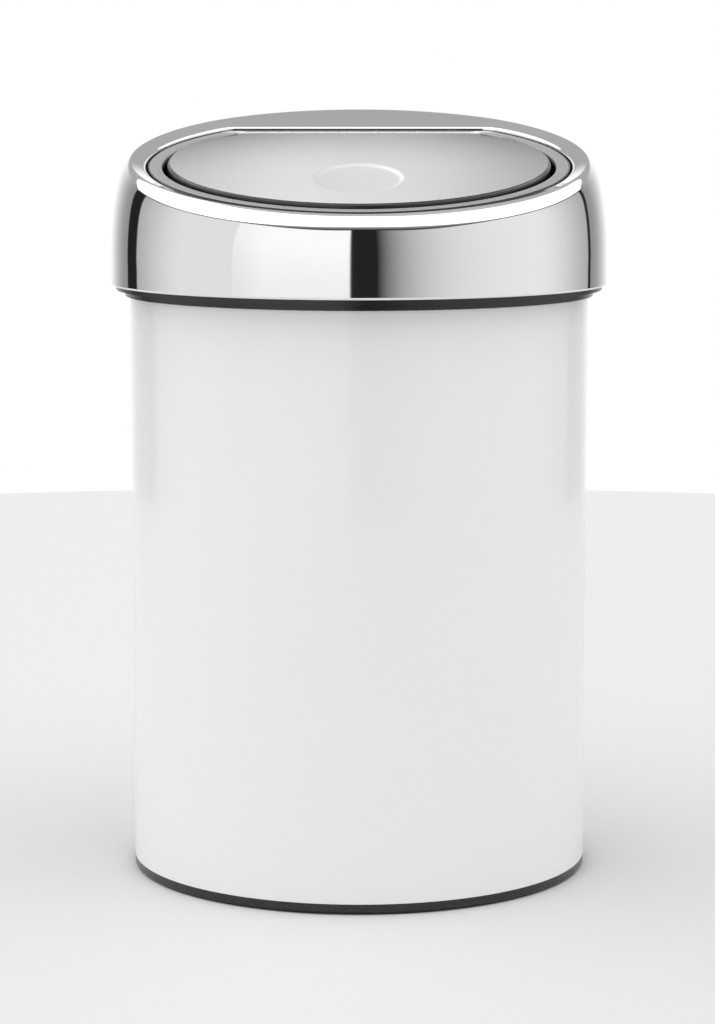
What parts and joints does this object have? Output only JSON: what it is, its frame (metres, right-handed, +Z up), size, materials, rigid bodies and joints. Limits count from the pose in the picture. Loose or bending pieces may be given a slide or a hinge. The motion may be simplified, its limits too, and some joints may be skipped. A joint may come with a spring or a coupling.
{
  "type": "push top countertop bin",
  "caption": "Round countertop waste bin with a painted steel body, a sloped polished lid and a push-to-open flap over a lift-out bucket.",
  "frame": {"origin": "centre of the underside, on the surface the bin stands on", "axes": "+Z up, -Y towards the front, where the flap is pressed, +X to the right seen from the front"},
  "size_m": [0.1872, 0.1872, 0.2855],
  "materials": {
    "white_paint": "gloss white paint on steel",
    "plain_steel": "plain rolled steel",
    "polished_steel": "mirror polished",
    "satin_steel": "fine satin",
    "silver_plastic": "silver, fine grain",
    "black_plastic": "black, satin moulded",
    "rubber": "matt",
    "spring_steel": "bright drawn wire",
    "grey_plastic": "dark grey, moulded",
    "white_plastic": "natural white acetal"
  },
  "bodies": {
    "bin_body": {"body_shell": "white_paint", "base_plate": "plain_steel", "base_ring": "black_plastic", "non_slip_ring": "rubber", "collar_ring": "black_plastic"},
    "lid_unit": {"lid_cap": "polished_steel", "lid_bezel": "silver_plastic", "lid_frame": "black_plastic", "frame_screws": "spring_steel", "catch_housing": "black_plastic", "catch_screws": "spring_steel", "catch_spring": "spring_steel", "hinge_spring_left": "spring_steel", "hinge_spring_right": "spring_steel"},
    "press_set": {"hinge_pin": "spring_steel", "pin_clips": "spring_steel", "catch_slider": "white_plastic"},
    "flap": {"flap_cover": "satin_steel", "flap_tray": "black_plastic", "flap_striker": "white_plastic", "flap_screws": "spring_steel"},
    "bucket": {"inner_bucket": "grey_plastic"},
    "handle": {"bucket_handle": "spring_steel", "handle_grip": "black_plastic"}
  },
  "joints": [
    {"name": "lid_lift", "type": "slide", "parent": "bin_body", "child": "lid_unit", "axis": [0, 0, 1], "range_m": [0, 0.5]},
    {"name": "bucket_lift", "type": "slide", "parent": "bin_body", "child": "bucket", "axis": [0, 0, 1], "range_m": [0, 0.25]},
    {"name": "handle_swing", "type": "hinge", "parent": "bucket", "child": "handle", "pos_m": [0, 0, 0.1924], "axis": [-1, 0, 0], "range_deg": [0, 180]},
    {"name": "flap_press", "type": "hinge", "parent": "lid_unit", "child": "press_set", "pos_m": [0, 0.04715, 0.27036], "axis": [-1, 0, 0], "range_deg": [-1.8, 0], "stiffness_Nm_per_rad": 10, "springref_deg": 2.29, "deforming": ["catch_spring"]},
    {"name": "flap_open", "type": "hinge", "parent": "press_set", "child": "flap", "pos_m": [0, 0.04715, 0.27036], "axis": [-1, 0, 0], "range_deg": [0, 68]}
  ],
  "couplings": [
    {"joint": "bucket_lift", "follows": "lid_lift", "ratio": 0.5},
    {"joint": "handle_swing", "follows": "lid_lift", "rad_per_m": 3.1416}
  ]
}
